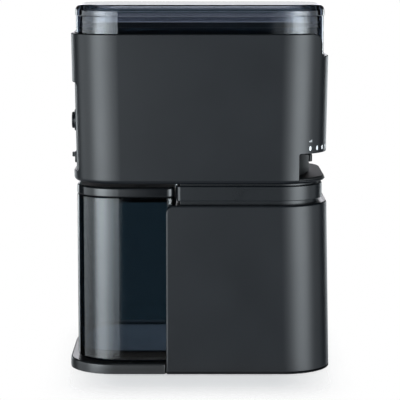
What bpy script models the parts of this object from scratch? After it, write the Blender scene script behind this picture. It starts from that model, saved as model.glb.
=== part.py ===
# Burr coffee grinder, as its separate pieces. Sizes below are millimetres; the scene is in metres.
# The origin is under the middle of the footprint. +Z is up and the control panel faces -X.
import math
from typing import NamedTuple

import bmesh
import bpy

MM = 0.001
GAP = 0.3  # left between two pieces that touch

# Outline of the hopper, the neck and the grounds container
CORE_FRONT, CORE_REAR, CORE_DEPTH, CORE_R = -91.0, 91.0, 61.5, 32.0
# Upper housing, which narrows a little towards its bottom edge
HOUSING_Z0, HOUSING_Z1 = 140.8, 249.5
HOUSING_HALF_LOW, HOUSING_HALF_HIGH = 93.1, 94.8
HOUSING_DEPTH_LOW, HOUSING_DEPTH_HIGH = 63.4, 65.0
HOUSING_R = 36.0
HOUSING_WALL = 2.4
HOUSING_FLOOR_Z = 143.0
# Lower shell, which widens a little towards the base
SKIRT_Z0, SKIRT_Z1 = 1.0, 125.4
SKIRT_FRONT = -24.6
SKIRT_REAR_LOW, SKIRT_REAR_HIGH = 96.5, 94.1
SKIRT_DEPTH_LOW, SKIRT_DEPTH_HIGH = 66.3, 64.0
SKIRT_R = 36.0
SKIRT_WALL = 2.4
POCKET_REAR = -17.9  # the container's pocket ends here
GLAND_Z = 18.0
# Base
BASE_Z0, PLATFORM_Z, BASE_FLOOR_Z = 1.0, 8.8, 4.0
BASE_FRONT, BASE_DEPTH, BASE_R = -96.5, 65.9, 34.0
# Grounds container and its lid
CONTAINER_Z0, CONTAINER_FLOOR_Z, CONTAINER_Z1 = 9.4, 15.0, 130.9
CONTAINER_REAR, CONTAINER_DEPTH, CONTAINER_REAR_R = -18.4, 61.2, 6.0
CONTAINER_WALL = 2.2
CONTAINER_LID_Z1 = 138.3
# Neck between the two shells
NECK_FRONT, NECK_REAR = -16.9, 90.5
NECK_Z0, NECK_Z1, NECK_TOP = 128.4, 139.4, 140.5
# Hopper and lid
HOPPER_Z0, HOPPER_Z1, HOPPER_WALL = 228.0, 262.0, 2.2
LID_Z0, LID_Z1 = 262.3, 270.5
FUNNEL_RIM_Z, FUNNEL_THROAT_Z, FUNNEL_END_Z = 254.0, 206.0, 193.5
DECK_Z0, DECK_Z1 = 225.0, 227.7
# Control panel
PANEL_INSET, PANEL_THICK = 1.8, 2.4
PANEL_HALF, PANEL_Z0, PANEL_Z1, PANEL_R = 45.5, 149.0, 213.0, 6.0
BUTTON_Z, BUTTON_R, BEZEL_R = 182.6, 6.2, 8.1
SLIDER_Z, SLIDER_HALF, SLIDER_HEIGHT = 156.8, 25.0, 8.2
# Burr set and its drive, about one upright axis
BURR_X = 5.0
MOTOR_X = 37.0
GEAR_TEETH, PINION_TEETH, GEAR_MODULE = 52, 12, 1.0
GEAR_Z0, GEAR_Z1 = 148.5, 156.5
CHASSIS_Z0, CHASSIS_Z1 = 143.3, 147.0
CHAMBER_Z0, CHAMBER_Z1 = 159.0, 177.0
CHAMBER_FLOOR_Z = 161.5
BURR_Z0, BURR_Z1 = 172.0, 188.0
CHUTE_X = -40.0
# Lever slot round the rear of the upper housing
SLOT_Z0, SLOT_Z1, SLOT_X = 142.6, 162.4, 72.4
SHELF_Z0, SHELF_Z1 = 142.9, 146.3
LINER_R, LINER_WALL, LINER_TOP = 77.5, 1.5, 159.4
LEVER_REST_DEG = -29.3
LEVER_ARM_Z, LEVER_THICK = 160.5, 1.5
LEVER_TAB_R, LEVER_TAB_Z = 88.6, 155.5

CORNER_STEPS = 5
FINISHES = {  # colour, roughness, metallic, alpha
    "charcoal": ((0.030, 0.033, 0.037), 0.45, 0.0, 1.0),
    "dark": ((0.012, 0.013, 0.015), 0.35, 0.0, 1.0),
    "smoked": ((0.20, 0.22, 0.25), 0.08, 0.0, 0.45),
    "smoked_dark": ((0.07, 0.09, 0.11), 0.08, 0.0, 0.6),
    "steel": ((0.55, 0.55, 0.56), 0.30, 1.0, 1.0),
    "burr_steel": ((0.42, 0.42, 0.44), 0.38, 1.0, 1.0),
    "nylon": ((0.70, 0.68, 0.62), 0.50, 0.0, 1.0),
    "bronze": ((0.55, 0.36, 0.16), 0.35, 1.0, 1.0),
    "rubber": ((0.015, 0.015, 0.016), 0.80, 0.0, 1.0),
    "board": ((0.02, 0.16, 0.07), 0.50, 0.0, 1.0),
}


class Footprint(NamedTuple):
    """A rectangle with round corners, seen from above, with its own radius at each end."""

    front: float
    rear: float
    depth: float
    front_r: float
    rear_r: float

    def inset(self, by):
        return Footprint(self.front + by, self.rear - by, self.depth - by,
                         max(self.front_r - by, 0.5), max(self.rear_r - by, 0.5))

    def ring(self, z, steps=CORNER_STEPS):
        corners = ((self.rear - self.rear_r, self.depth - self.rear_r, self.rear_r),
                   (self.front + self.front_r, self.depth - self.front_r, self.front_r),
                   (self.front + self.front_r, self.front_r - self.depth, self.front_r),
                   (self.rear - self.rear_r, self.rear_r - self.depth, self.rear_r))
        return [(x + r * math.cos(a), y + r * math.sin(a), z)
                for quarter, (x, y, r) in enumerate(corners)
                for a in (math.pi / 2 * (quarter + i / steps) for i in range(steps + 1))]


def between(low, high, share):
    return Footprint(*(a + (b - a) * share for a, b in zip(low, high)))


CORE = Footprint(CORE_FRONT, CORE_REAR, CORE_DEPTH, CORE_R, CORE_R)
CONTAINER = Footprint(CORE_FRONT, CONTAINER_REAR, CONTAINER_DEPTH, CORE_R, CONTAINER_REAR_R)
NECK = Footprint(NECK_FRONT, NECK_REAR, CORE_DEPTH, 3.0, CORE_R)
LID = CORE.inset(-0.5)


def housing(z):
    low = Footprint(-HOUSING_HALF_LOW, HOUSING_HALF_LOW, HOUSING_DEPTH_LOW, HOUSING_R, HOUSING_R)
    high = Footprint(-HOUSING_HALF_HIGH, HOUSING_HALF_HIGH, HOUSING_DEPTH_HIGH, HOUSING_R, HOUSING_R)
    return between(low, high, (z - HOUSING_Z0) / (HOUSING_Z1 - HOUSING_Z0))


def skirt(z):
    low = Footprint(SKIRT_FRONT, SKIRT_REAR_LOW, SKIRT_DEPTH_LOW, 3.4, SKIRT_R)
    high = Footprint(SKIRT_FRONT, SKIRT_REAR_HIGH, SKIRT_DEPTH_HIGH, 3.4, SKIRT_R)
    return between(low, high, (z - SKIRT_Z0) / (SKIRT_Z1 - SKIRT_Z0))


def circle(x, y, r, z, steps=20):
    return [(x + r * math.cos(a), y + r * math.sin(a), z)
            for a in (2 * math.pi * i / steps for i in range(steps))]


def rectangle(x0, x1, y0, y1, z):
    return [(x0, y0, z), (x1, y0, z), (x1, y1, z), (x0, y1, z)]


def top_edge(foot, z, r, steps=2):
    """Rings of a round top edge, from the side wall up to the flat."""
    turns = [math.pi / 2 * i / steps for i in range(steps + 1)]
    return [foot.inset(r * (1 - math.cos(a))).ring(z - r + r * math.sin(a)) for a in turns]


def bottom_edge(foot, z, r, steps=2):
    """Rings of a round bottom edge, from the flat up to the side wall."""
    return [[(x, y, 2 * z - h) for x, y, h in ring] for ring in reversed(top_edge(foot, z, r, steps))]


def face_yz(x, half, z0, z1, r, steps=4, y=0.0):
    """A ring with round corners that faces along X."""
    middle = (z0 + z1) / 2
    flat = Footprint(y - half, y + half, (z1 - z0) / 2, r, r).ring(0.0, steps)
    return [(x, u, middle + v) for u, v, _ in flat]


def disc_yz(x, y, z, r, steps=24):
    return [(x, u, v) for u, v, _ in circle(y, z, r, 0.0, steps)]


def finish(name, finish_name):
    colour, roughness, metallic, alpha = FINISHES[finish_name]
    made = bpy.data.materials.new(name)
    made.use_nodes = True
    shader = made.node_tree.nodes["Principled BSDF"]
    shader.inputs["Base Color"].default_value = (*colour, 1.0)
    shader.inputs["Roughness"].default_value = roughness
    shader.inputs["Metallic"].default_value = metallic
    shader.inputs["Alpha"].default_value = alpha
    return made


def loft(name, rings, finish_name=None, closed=False, origin=(0.0, 0.0, 0.0)):
    """A solid skinned over rings of equal length. It is capped at both ends unless closed."""
    mesh = bmesh.new()
    rows = [[mesh.verts.new([(c - o) * MM for c, o in zip(point, origin)]) for point in ring]
            for ring in rings]
    pairs = list(zip(rows, rows[1:]))
    if closed:
        pairs.append((rows[-1], rows[0]))
    else:
        mesh.faces.new(rows[0])
        mesh.faces.new(rows[-1])
    for low, high in pairs:
        for i in range(len(low)):
            j = (i + 1) % len(low)
            mesh.faces.new((low[i], low[j], high[j], high[i]))
    bmesh.ops.recalc_face_normals(mesh, faces=mesh.faces)
    data = bpy.data.meshes.new(name)
    mesh.to_mesh(data)
    mesh.free()
    piece = bpy.data.objects.new(name, data)
    piece.location = [c * MM for c in origin]
    bpy.context.scene.collection.objects.link(piece)
    if finish_name:
        data.shade_smooth()
        data.set_sharp_from_angle(angle=math.radians(35))
        data.materials.append(finish(name, finish_name))
    return piece


def shape_by(piece, rings, operation="DIFFERENCE", closed=False):
    """Cuts a helper shape from the piece, or joins or intersects it."""
    helper = loft(piece.name + "_helper", rings, closed=closed)
    helper.hide_render = True
    helper.display_type = "WIRE"
    step = piece.modifiers.new(operation.title(), "BOOLEAN")
    step.operation = operation
    step.solver = "EXACT"
    step.object = helper
    return piece


def turned(name, profile, finish_name, x=BURR_X, y=0.0, steps=28, closed=True):
    """A turned piece from (radius, height) points; closed runs round a bore."""
    rings = [circle(x, y, r, z, steps) for r, z in profile]
    return loft(name, rings, finish_name, closed=closed, origin=(x, y, 0.0))


def tube(name, r_in, r_out, z0, z1, finish_name, **where):
    return turned(name, [(r_out, z0), (r_out, z1), (r_in, z1), (r_in, z0)], finish_name, **where)


def block(x0, x1, y0, y1, z0, z1):
    return [rectangle(x0, x1, y0, y1, z0), rectangle(x0, x1, y0, y1, z1)]


def post(x, y, r, z0, z1, steps=16):
    return [circle(x, y, r, z0, steps), circle(x, y, r, z1, steps)]


def make_lid():
    plug = LID.inset(0.5 + HOPPER_WALL + 0.6)
    rings = [LID.inset(4.0).ring(LID_Z0), LID.ring(LID_Z0), *top_edge(LID, LID_Z1, 5.0, 4)]
    lid = loft("hopper_lid", rings, "smoked")
    shape_by(lid, [plug.ring(LID_Z0 - 4.0), plug.ring(LID_Z0 + 0.6)], "UNION")
    inside = plug.inset(1.8)
    return shape_by(lid, [inside.ring(LID_Z0 - 6.0), *top_edge(inside, LID_Z1 - 2.4, 2.0)])


def make_hopper():
    inner = CORE.inset(HOPPER_WALL)
    ledge = CORE.inset(9.0)
    rings = [ledge.ring(HOPPER_Z0), CORE.ring(HOPPER_Z0), *top_edge(CORE, HOPPER_Z1, 0.6, 2),
             inner.ring(HOPPER_Z1), inner.ring(HOPPER_Z0 + 2.2), ledge.ring(HOPPER_Z0 + 2.2)]
    return loft("hopper", rings, "smoked", closed=True)


def make_funnel():
    rim = CORE.inset(HOPPER_WALL + GAP)
    inner_rim = rim.inset(1.4)

    def throat(r):
        return Footprint(BURR_X - r, BURR_X + r, r, r - 0.01, r - 0.01)

    rings = [rim.ring(FUNNEL_RIM_Z - 1.6), rim.ring(FUNNEL_RIM_Z), inner_rim.ring(FUNNEL_RIM_Z),
             throat(18.4).ring(FUNNEL_THROAT_Z), throat(20.0).ring(FUNNEL_THROAT_Z - 1.0)]
    loft("hopper_funnel", rings, "dark", closed=True)
    tube("funnel_spout", 18.4, 20.0, FUNNEL_END_Z, FUNNEL_THROAT_Z - 1.0 - GAP, "dark")


def make_upper_housing():
    def wall(inset, z):
        return housing(z).inset(inset).ring(z)

    rings = [*bottom_edge(housing(HOUSING_Z0), HOUSING_Z0, 3.0),
             *top_edge(housing(HOUSING_Z1), HOUSING_Z1, 0.8, 2),
             wall(HOUSING_WALL, HOUSING_Z1), wall(HOUSING_WALL, HOUSING_FLOOR_Z)]
    shell = loft("upper_housing", rings, "charcoal")
    window = [face_yz(x, PANEL_HALF + GAP, PANEL_Z0 - GAP, PANEL_Z1 + GAP, PANEL_R)
              for x in (-110.0, -80.0)]
    shape_by(shell, window)
    shape_by(shell, [notch_ring(70.0), notch_ring(110.0)])
    shape_by(shell, block(SLOT_X, 110.0, -80.0, 80.0, SLOT_Z0, SLOT_Z1))
    shape_by(shell, block(CHUTE_X - 9.8, CHUTE_X + 9.8, -11.3, 11.3, 130.0, 150.0))
    return shape_by(shell, post(MOTOR_X, 0.0, 9.0, 130.0, 150.0))


def notch_ring(x):
    """Outline of the notch at the rear of the upper housing: round below, flared above."""
    half, bottom, low_r, flare, above = 47.5, 233.0, 4.0, 9.0, 262.0
    turns = [math.pi / 2 * i / 4 for i in range(5)]
    side = [(half - low_r + low_r * math.sin(a), bottom + low_r - low_r * math.cos(a)) for a in turns]
    side += [(half + flare - flare * math.cos(a), HOUSING_Z1 - flare + flare * math.sin(a)) for a in turns]
    side.append((half + flare, above))
    return [(x, y, z) for y, z in side] + [(x, -y, z) for y, z in reversed(side)]


def make_panel():
    def band(inset, z):
        return housing(z).inset(inset).ring(z, 9)

    low, high = PANEL_Z0 - 5.0, PANEL_Z1 + 5.0
    back = PANEL_INSET + PANEL_THICK
    rings = [band(PANEL_INSET, low), band(PANEL_INSET, high), band(back, high), band(back, low)]
    panel = loft("control_panel", rings, "charcoal", closed=True)
    frame = [face_yz(x, PANEL_HALF, PANEL_Z0, PANEL_Z1, PANEL_R) for x in (-110.0, -60.0)]
    shape_by(panel, frame, "INTERSECT")
    shape_by(panel, [disc_yz(x, 0.0, BUTTON_Z, BEZEL_R + GAP) for x in (-110.0, -80.0)])
    half, height = SLIDER_HALF + GAP, SLIDER_HEIGHT / 2 + GAP
    return shape_by(panel, [face_yz(x, half, SLIDER_Z - height, SLIDER_Z + height, 3.0)
                            for x in (-110.0, -80.0)])


def make_controls():
    back, front = -90.3, -93.0
    bore = BUTTON_R + GAP
    loft("button_bezel", [disc_yz(back, 0, BUTTON_Z, BEZEL_R), disc_yz(front + 0.5, 0, BUTTON_Z, BEZEL_R),
                          disc_yz(front, 0, BUTTON_Z, BEZEL_R - 0.5), disc_yz(front, 0, BUTTON_Z, bore),
                          disc_yz(back, 0, BUTTON_Z, bore)], "dark", closed=True)
    loft("start_button", [disc_yz(-89.0, 0, BUTTON_Z, BUTTON_R), disc_yz(-95.5, 0, BUTTON_Z, BUTTON_R),
                          disc_yz(-96.1, 0, BUTTON_Z, BUTTON_R - 0.7)], "charcoal",
         origin=(-89.0, 0.0, BUTTON_Z))
    make_button_spring(-88.7, -85.7)
    half = SLIDER_HEIGHT / 2
    outer = [face_yz(x, SLIDER_HALF, SLIDER_Z - half, SLIDER_Z + half, 2.6) for x in (back, front)]
    bezel = loft("slider_bezel", outer, "dark")
    shape_by(bezel, [face_yz(x, SLIDER_HALF - 2.2, SLIDER_Z - 2.0, SLIDER_Z + 2.0, 1.9)
                     for x in (-110.0, -80.0)])
    knob = loft("cup_slider", [face_yz(-96.3, 3.6, SLIDER_Z - 1.3, SLIDER_Z + 1.3, 0.6),
                               face_yz(-95.9, 4.0, SLIDER_Z - 1.7, SLIDER_Z + 1.7, 0.6),
                               face_yz(-87.6, 4.0, SLIDER_Z - 1.7, SLIDER_Z + 1.7, 0.6)], "charcoal")
    shape_by(knob, block(-88.6, -87.2, -7.0, 7.0, SLIDER_Z - 3.6, SLIDER_Z + 3.6), "UNION")


def make_button_spring(x0, x1):
    """Two and a half turns of round wire along X."""
    coil_r, wire_r, turns, steps = 3.2, 0.25, 2.5, 14
    count = int(turns * steps)
    rings = []
    for i in range(count + 1):
        a = 2 * math.pi * i / steps
        x = x0 + wire_r + (x1 - x0 - 2 * wire_r) * i / count
        out = (math.cos(a), math.sin(a))
        rings.append([(x + wire_r * math.sin(b), out[0] * (coil_r + wire_r * math.cos(b)),
                       BUTTON_Z + out[1] * (coil_r + wire_r * math.cos(b)))
                      for b in (2 * math.pi * k / 6 for k in range(6))])
    loft("button_spring", rings, "steel")


def make_electrics():
    loft("control_board", block(-76.0, -74.4, -26.0, 26.0, 150.0, 206.0), "board")
    switch = loft("start_switch", block(-82.5, -76.3, -4.0, 4.0, BUTTON_Z - 4.5, BUTTON_Z + 4.5), "dark")
    shape_by(switch, [disc_yz(-85.4, 0, BUTTON_Z, 4.2, 16), disc_yz(-82.0, 0, BUTTON_Z, 4.2, 16)], "UNION")
    loft("slide_potentiometer", block(-86.8, -76.3, -24.0, 24.0, SLIDER_Z - 4.0, SLIDER_Z + 4.0), "steel")


def make_deck():
    edge = housing(DECK_Z0).inset(HOUSING_WALL + GAP)
    hole = Footprint(-55.0, 60.0, 41.0, 24.0, 24.0)
    rings = [edge.ring(DECK_Z0), edge.ring(DECK_Z1), hole.ring(DECK_Z1), hole.ring(DECK_Z0)]
    return loft("hopper_deck", rings, "dark", closed=True)


def make_chassis():
    plate = Footprint(-58.0, 66.0, 44.0, 10.0, 10.0)
    chassis = loft("chassis_plate", [plate.ring(CHASSIS_Z0), plate.ring(CHASSIS_Z1)], "dark")
    shape_by(chassis, post(MOTOR_X, 0.0, 9.0, 140.0, 150.0))
    shape_by(chassis, post(BURR_X, 0.0, 7.3, 140.0, 150.0))
    return shape_by(chassis, block(CHUTE_X - 9.8, CHUTE_X + 9.8, -11.3, 11.3, 140.0, 150.0))


def make_chamber():
    profile = [(7.3, CHAMBER_Z0), (38.0, CHAMBER_Z0), (38.0, CHAMBER_FLOOR_Z), (32.0, CHAMBER_FLOOR_Z),
               (32.0, CHAMBER_Z1), (29.6, CHAMBER_Z1), (29.6, CHAMBER_FLOOR_Z), (7.3, CHAMBER_FLOOR_Z)]
    chamber = turned("grinding_chamber", profile, "dark", steps=32)
    top = CHAMBER_Z1 - 3.0
    shape_by(chamber, block(CHUTE_X - 10.0, -24.5, -12.0, 12.0, CHAMBER_Z0, top), "UNION")
    shape_by(chamber, block(CHUTE_X - 8.0, -20.0, -10.0, 10.0, CHAMBER_FLOOR_Z, top - 1.8))
    shape_by(chamber, block(CHUTE_X - 7.0, CHUTE_X + 7.0, -8.5, 8.5, 150.0, 165.0))
    for angle in (65, 115, 245, 295):
        x = BURR_X + 34.0 * math.cos(math.radians(angle))
        y = 34.0 * math.sin(math.radians(angle))
        shape_by(chamber, post(x, y, 3.5, CHASSIS_Z1 + GAP, CHAMBER_Z0 + 1.0, 16), "UNION")
    return chamber


def make_chute():
    low, high = 141.3, CHAMBER_Z0 - GAP
    outer = [(rectangle(CHUTE_X - 9.0, CHUTE_X + 9.0, -10.5, 10.5, z)) for z in (low, high)]
    inner = [(rectangle(CHUTE_X - 7.0, CHUTE_X + 7.0, -8.5, 8.5, z)) for z in (high, low)]
    return loft("discharge_chute", outer + inner, "dark", closed=True)


def make_burrs():
    turned("outer_burr", [(25.0, BURR_Z0), (25.0, BURR_Z1), (22.0, BURR_Z1), (20.4, BURR_Z0)],
           "burr_steel", steps=32)
    turned("burr_carrier", [(29.2, BURR_Z0 - 1.0), (29.2, 192.0), (22.5, 192.0), (22.5, BURR_Z1 + GAP),
                            (25.3, BURR_Z1 + GAP), (25.3, BURR_Z0 - 1.0)], "nylon", steps=32)
    ridges = 9  # deep spiral ridges that feed the beans in
    rings = []
    for r, z, depth in ((19.2, BURR_Z0, 0.5), (19.2, BURR_Z0 + 5.0, 0.8), (15.5, BURR_Z0 + 11.0, 2.2),
                        (11.5, BURR_Z0 + 18.0, 2.6), (7.6, BURR_Z0 + 24.0, 1.0)):
        twist = (z - BURR_Z0) * 0.03
        steps = ridges * 4
        rings.append([(BURR_X + rr * math.cos(a + twist), rr * math.sin(a + twist), z)
                      for a, rr in ((2 * math.pi * i / steps, r - depth * (i % 4 > 1)) for i in range(steps))])
    burr = loft("inner_burr", rings, "burr_steel", origin=(BURR_X, 0.0, 0.0))
    shape_by(burr, post(BURR_X, 0.0, 4.0 + GAP, BURR_Z0 - 5.0, BURR_Z0 + 30.0))


def make_adjuster():
    tube("adjusting_ring", 29.6, 35.0, CHAMBER_Z1 + GAP, 186.0, "dark", steps=32)
    lever = []
    upper, arm, t = 186.3, LEVER_ARM_Z, LEVER_THICK
    crank = 64.0
    tab = LEVER_TAB_R
    side = [(30.2, upper), (crank - t, upper), (crank - t, arm), (tab - t / 2, arm), (tab - t / 2, LEVER_TAB_Z),
            (tab + t / 2, LEVER_TAB_Z), (tab + t / 2, arm + t), (crank, arm + t), (crank, upper + t),
            (30.2, upper + t)]
    turn = math.radians(LEVER_REST_DEG)
    for edge in (-1, 1):
        ring = []
        for r, z in side:
            half = 1.2 + 3.0 * max(0.0, (crank + 8.0 - r) / (crank - 22.0))
            half = min(half, 4.2) * edge
            ring.append((BURR_X + r * math.cos(turn) - half * math.sin(turn),
                         r * math.sin(turn) + half * math.cos(turn), z))
        lever.append(ring)
    loft("grind_lever", lever, "dark", origin=(BURR_X, 0.0, 0.0))


def make_liner():
    """Curved wall at the back of the lever slot, with a straight return at each end and a shelf below."""
    z0 = HOUSING_FLOOR_Z + GAP
    inner = LINER_R - LINER_WALL
    spread = math.acos((SLOT_X - BURR_X - 1.0) / LINER_R)
    steps = 16
    turns = [spread * (2 * i / steps - 1) for i in range(steps + 1)]
    face = [(BURR_X + LINER_R * math.cos(a), LINER_R * math.sin(a)) for a in turns]
    back = [(BURR_X + inner * math.cos(a), inner * math.sin(a)) for a in reversed(turns)]
    end = 57.0
    x0, x1 = SLOT_X - 1.0 - LINER_WALL, SLOT_X - 1.0
    outline = [(x0, -end), (x1, -end), *face, (x1, end), (x0, end), (x0, back[0][1] - 1.0), *back[2:-2],
               (x0, 1.0 - back[0][1])]
    liner = loft("slot_liner", [[(x, y, z) for x, y in outline] for z in (z0, LINER_TOP)], "dark")
    foot = housing(SHELF_Z0).inset(1.0)
    shelf = loft("slot_shelf", [foot.ring(SHELF_Z0), *top_edge(foot, SHELF_Z1, 2.4, 4)])
    shape_by(shelf, block(SLOT_X + 0.4, 110.0, -80.0, 80.0, 130.0, 160.0), "INTERSECT")
    shape_by(shelf, post(BURR_X, 0.0, inner + 0.2, 130.0, 160.0, 64))
    shelf.hide_render = True
    join = liner.modifiers.new("Shelf", "BOOLEAN")
    join.operation, join.solver, join.object = "UNION", "EXACT", shelf
    return liner


def gear_ring(x, teeth, z, first_deg, addendum, dedendum, backlash=0.3):
    """Involute teeth with a 20 degree pressure angle; the first tooth is centred at first_deg."""
    pressure = math.radians(20)
    pitch = teeth * GEAR_MODULE / 2
    base = pitch * math.cos(pressure)

    def half_angle(r):
        angle = math.acos(min(1.0, base / r))
        return ((math.pi * GEAR_MODULE / 2 - backlash) / (2 * pitch)
                + math.tan(pressure) - pressure - math.tan(angle) + angle)

    ring = []
    for tooth in range(teeth):
        middle = math.radians(first_deg) + 2 * math.pi * tooth / teeth
        for r, side in ((pitch - dedendum, -1), (pitch + addendum, -1), (pitch + addendum, 1),
                        (pitch - dedendum, 1)):
            a = middle + side * half_angle(r)
            ring.append((x + r * math.cos(a), r * math.sin(a), z))
    return ring


def make_gear(name, x, teeth, first_deg, bore, addendum, dedendum, finish_name):
    rings = [gear_ring(x, teeth, z, first_deg, addendum, dedendum) for z in (GEAR_Z0, GEAR_Z1)]
    gear = loft(name, rings, finish_name, origin=(x, 0.0, 0.0))
    return shape_by(gear, post(x, 0.0, bore, GEAR_Z0 - 2.0, GEAR_Z1 + 2.0))


def make_spindle():
    turned("spindle", [(4.0, 144.0), (4.0, 196.0)], "steel", steps=24, closed=False)
    make_gear("spindle_gear", BURR_X, GEAR_TEETH, 180.0 / GEAR_TEETH, 4.0 + GAP, 0.8, 1.2, "nylon")
    tube("lower_bearing", 4.0 + GAP, 7.0, CHASSIS_Z0, CHASSIS_Z1 + 0.8, "bronze", steps=16)
    tube("upper_bearing", 4.0 + GAP, 7.0, CHAMBER_Z0 - 1.0, CHAMBER_FLOOR_Z + 0.4, "bronze", steps=16)
    impeller = turned("impeller", [(8.0, 162.3), (8.0, 163.0), (19.0, 163.0), (19.0, 164.6), (8.0, 164.6),
                                   (8.0, BURR_Z0 - GAP), (4.0 + GAP, BURR_Z0 - GAP), (4.0 + GAP, 162.3)],
                      "nylon")
    for blade in range(4):
        a = math.pi / 2 * blade
        along, across = (math.cos(a), math.sin(a)), (-math.sin(a), math.cos(a))
        outline = [(BURR_X + along[0] * r + across[0] * w, along[1] * r + across[1] * w)
                   for r, w in ((7.0, -1.0), (26.5, -1.0), (26.5, 1.0), (7.0, 1.0))]
        shape_by(impeller, [[(x, y, z) for x, y in outline] for z in (163.3, 169.8)], "UNION")
    turned("burr_nut", [(6.0, 196.3), (6.0, 199.0), (4.2, 200.4)], "steel", steps=6, closed=False)


def make_motor():
    turned("motor_can", [(26.0, 22.0), (26.0, 97.0), (25.0, 98.0), (6.0, 98.0), (6.0, 96.0), (24.0, 96.0),
                         (24.0, 22.0)], "steel", x=MOTOR_X)
    tube("motor_end_cap", 6.0, 26.0, 18.0, 21.7, "dark", x=MOTOR_X)
    turned("motor_shaft", [(2.5, 16.0), (2.5, 26.0), (20.0, 26.0), (20.0, 90.0), (2.5, 90.0), (2.5, 157.0)],
           "steel", x=MOTOR_X, steps=24, closed=False)
    make_gear("motor_pinion", MOTOR_X, PINION_TEETH, 180.0, 2.5 + GAP, 0.9, 1.1, "steel")
    plate = Footprint(4.0, 70.0, 30.0, 5.0, 5.0)
    mount = loft("motor_mount", [plate.ring(98.3), plate.ring(101.3)], "dark")
    shape_by(mount, post(MOTOR_X, 0.0, 8.0, 90.0, 110.0))
    for x in (MOTOR_X - 27.0, MOTOR_X + 27.0):
        for y in (-24.0, 24.0):
            shape_by(mount, post(x, y, 4.0, 100.0, 138.0 - GAP, 16), "UNION")


def make_motor_housing():
    inner = NECK.inset(2.5)
    inside = NECK.inset(4.5)
    rings = [inside.ring(112.0), inner.ring(112.0), inner.ring(NECK_Z0), NECK.ring(NECK_Z0),
             *top_edge(NECK, NECK_Z1, 0.8, 2), inner.ring(NECK_Z1), inner.ring(NECK_TOP)]
    neck = loft("motor_housing", rings, "charcoal")
    shape_by(neck, [inside.ring(100.0), inside.ring(138.0)])
    return shape_by(neck, post(MOTOR_X, 0.0, 9.0, 130.0, 150.0))


def make_skirt():
    rings = [skirt(SKIRT_Z0).ring(SKIRT_Z0), *top_edge(skirt(SKIRT_Z1), SKIRT_Z1, 1.6)]
    shell = loft("housing_skirt", rings, "charcoal")

    def room(z):
        foot = skirt(z).inset(SKIRT_WALL)
        return foot._replace(front=POCKET_REAR + SKIRT_WALL, front_r=3.0).ring(z)

    shape_by(shell, [room(-5.0), room(SKIRT_Z1 - SKIRT_WALL)])
    half = CONTAINER_DEPTH + 0.6
    shape_by(shell, block(-40.0, POCKET_REAR, -half, half, -5.0, 140.0))
    shape_by(shell, block(-40.0, -12.0, -half, half, -5.0, PLATFORM_Z + GAP))
    opening = NECK.inset(2.5 - GAP)
    shape_by(shell, [opening.ring(115.0), opening.ring(135.0)])
    shape_by(shell, corner_ring(SKIRT_FRONT, SKIRT_Z1, 6.5))
    shape_by(shell, [disc_yz(x, 0.0, GLAND_Z, 6.3, 16) for x in (85.0, 105.0)])
    for x, y in screw_places():
        shape_by(shell, post(x, y, 4.5, BASE_FLOOR_Z + GAP, 22.0, 10), "UNION")
        shape_by(shell, post(x, y, 2.0, -1.0, 17.0, 10))
    return shell


def corner_ring(x, z, r):
    """Waste outside a round corner of the side view, as a prism along Y."""
    turns = [math.pi / 2 * i / 6 for i in range(7)]
    arc = [(x + r - r * math.sin(a), z - r + r * math.cos(a)) for a in turns]
    outline = [*arc, (x - 8.0, z - r), (x - 8.0, z + 8.0), (x + r, z + 8.0)]
    return [[(u, y, v) for u, v in outline] for y in (-90.0, 90.0)]


def screw_places():
    return [(x, y) for x in (2.0, 56.0) for y in (-60.6, 60.6)]


def foot_places():
    return [(x, y) for x in (-62.0, 68.0) for y in (-42.0, 42.0)]


def make_base():
    front = Footprint(BASE_FRONT, SKIRT_FRONT - GAP, BASE_DEPTH, BASE_R, 2.0)
    base = loft("base_plate", [front.ring(BASE_Z0), *top_edge(front, PLATFORM_Z, 1.5)], "dark")
    tongue = block(SKIRT_FRONT - 3.0, POCKET_REAR + SKIRT_WALL + 4.0, -CONTAINER_DEPTH, CONTAINER_DEPTH,
                   BASE_Z0, PLATFORM_Z)
    shape_by(base, tongue, "UNION")
    rear = skirt(BASE_FLOOR_Z).inset(SKIRT_WALL + GAP)
    rear = rear._replace(front=POCKET_REAR + SKIRT_WALL + GAP, front_r=2.0)
    shape_by(base, [rear.ring(BASE_Z0), rear.ring(BASE_FLOOR_Z)], "UNION")
    for i, (x, y) in enumerate(foot_places(), 1):
        shape_by(base, post(x, y, 6.3, -2.0, 3.0))
        turned(f"foot_{i}", [(5.2, 0.0), (6.0, 0.8), (6.0, 3.0 - GAP)], "rubber", x=x, y=y, steps=16,
               closed=False)
    for i, (x, y) in enumerate(screw_places(), 1):
        shape_by(base, post(x, y, 3.6, -2.0, 2.6, 10))
        shape_by(base, post(x, y, 2.0, -2.0, 8.0, 10))
        turned(f"base_screw_{i}", [(3.2, 1.2), (3.2, 2.3), (1.7, 2.4), (1.7, 15.5)], "steel", x=x, y=y,
               steps=10, closed=False)


def make_gland():
    """Bush that the supply cord would come in through."""
    loft("cord_gland", [disc_yz(x, 0.0, GLAND_Z, r, 16) for x, r in
                        ((91.0, 6.0), (96.2, 6.0), (96.2, 3.6), (91.0, 3.6))], "rubber", closed=True)


def make_container():
    inner = CONTAINER.inset(CONTAINER_WALL)
    foot = CONTAINER.inset(4.0)
    under = CONTAINER_Z0 + 2.6
    rings = [foot.ring(under), foot.ring(CONTAINER_Z0), *bottom_edge(CONTAINER, CONTAINER_Z0, 2.0),
             *top_edge(CONTAINER, CONTAINER_Z1, 0.6, 2), inner.ring(CONTAINER_Z1),
             *reversed(bottom_edge(inner, CONTAINER_FLOOR_Z, 3.0))]
    return loft("grounds_container", rings, "smoked_dark", origin=(CORE_FRONT, 0.0, CONTAINER_Z0))


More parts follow.
